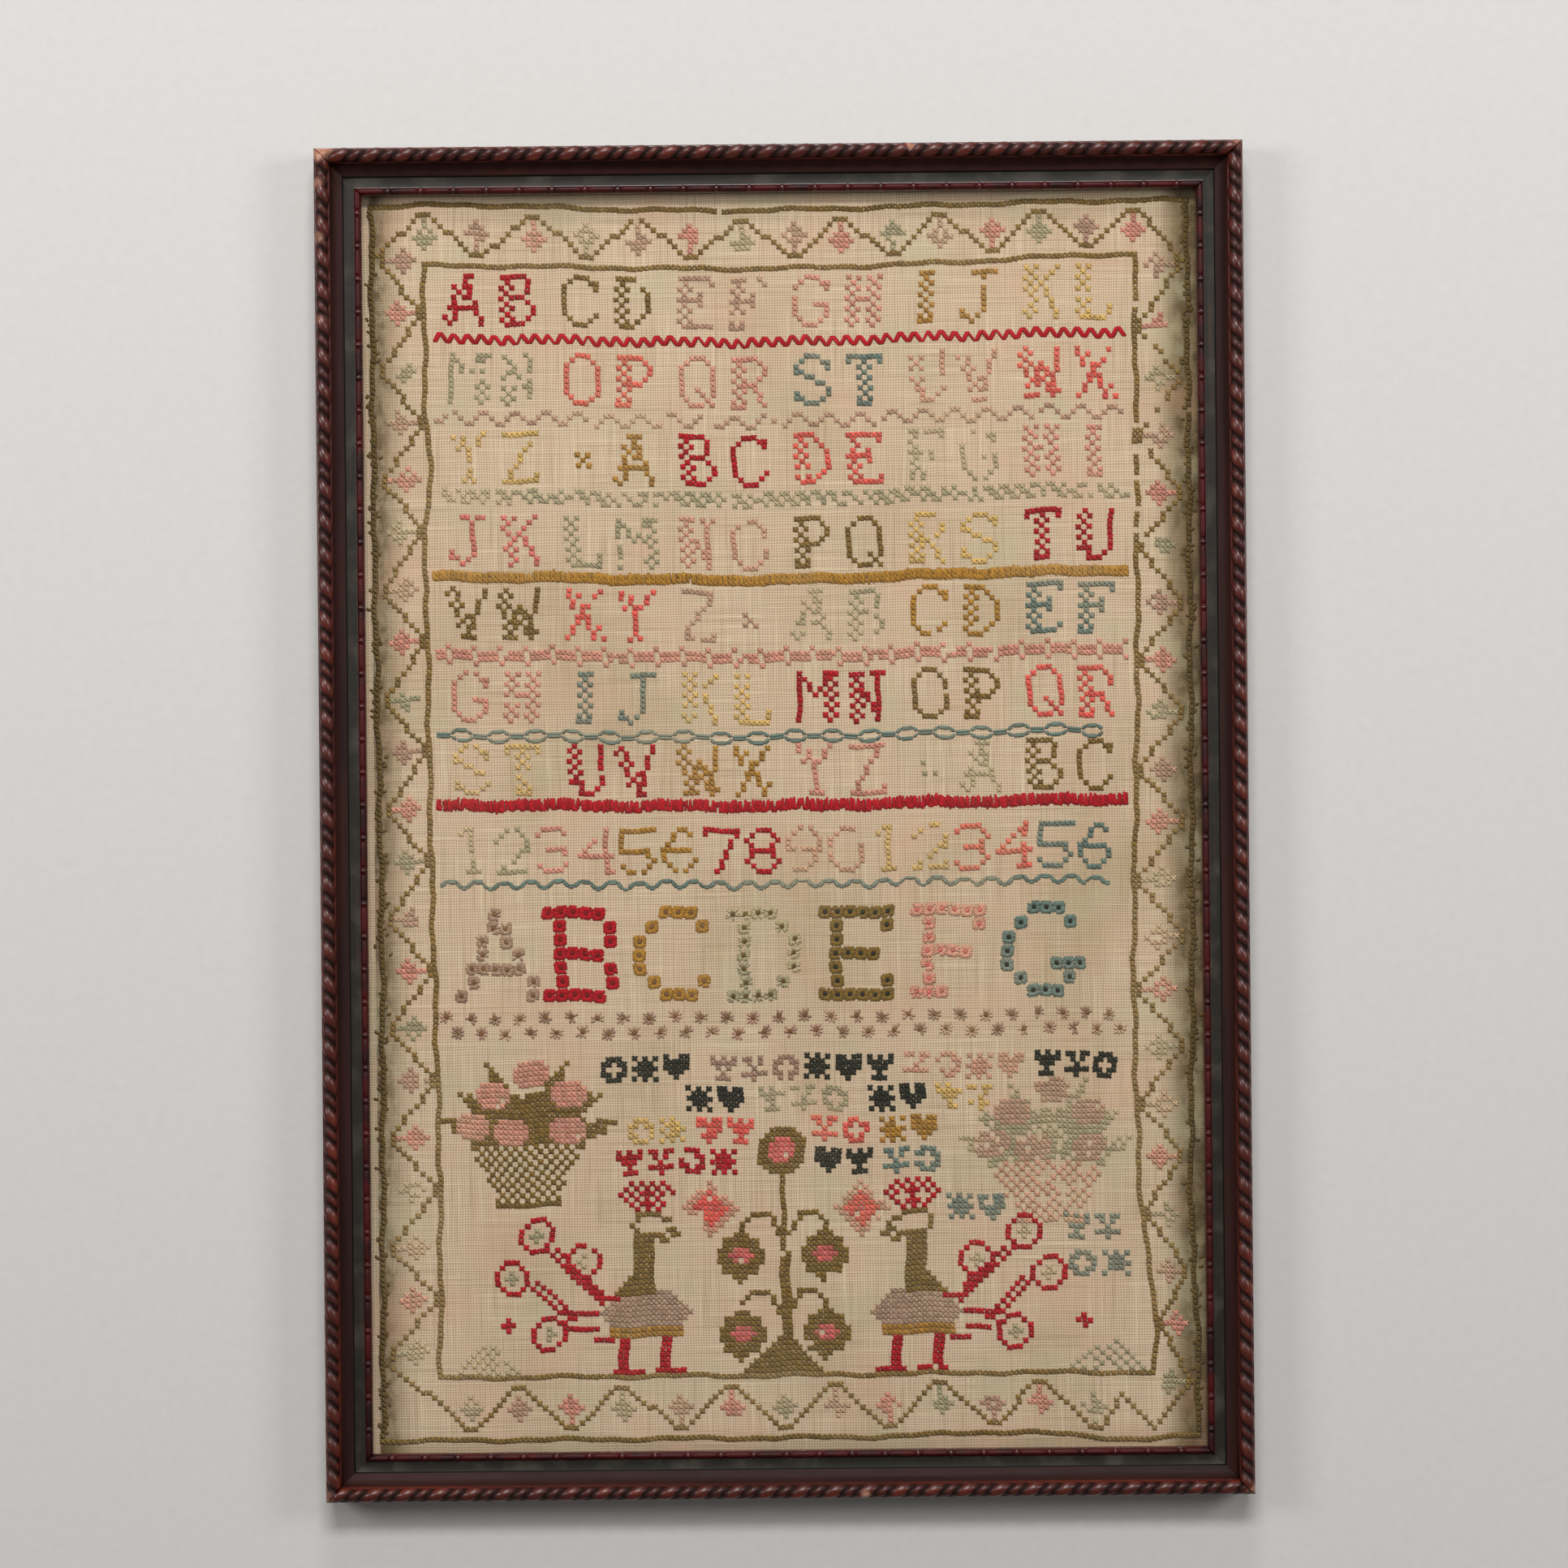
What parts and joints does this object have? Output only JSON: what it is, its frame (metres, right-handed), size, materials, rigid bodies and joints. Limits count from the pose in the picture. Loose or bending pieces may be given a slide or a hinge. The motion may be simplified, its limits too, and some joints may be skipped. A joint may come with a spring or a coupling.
{
  "type": "cross stitch sampler in a wooden picture frame",
  "caption": "Cross stitched linen sampler behind glass in a mitred dark wooden frame with a carved rope edge, to hang or prop for display.",
  "frame": {"origin": "middle of the frame's flat back, on the surface it lies on", "axes": "+Z out of the picture's face, +Y to the top of the picture, +X to its right side"},
  "size_m": [0.31, 0.452, 0.019],
  "materials": {
    "frame_wood": "dark stained and varnished, worn at the corners",
    "glass": "clear",
    "linen": "aged plain woven linen with coloured cross stitch",
    "board_wood": "bare"
  },
  "bodies": {
    "root": {"rail_top": "frame_wood", "rail_bottom": "frame_wood", "rail_left": "frame_wood", "rail_right": "frame_wood", "glass_pane": "glass", "linen_cloth": "linen", "back_board": "board_wood"}
  },
  "joints": []
}
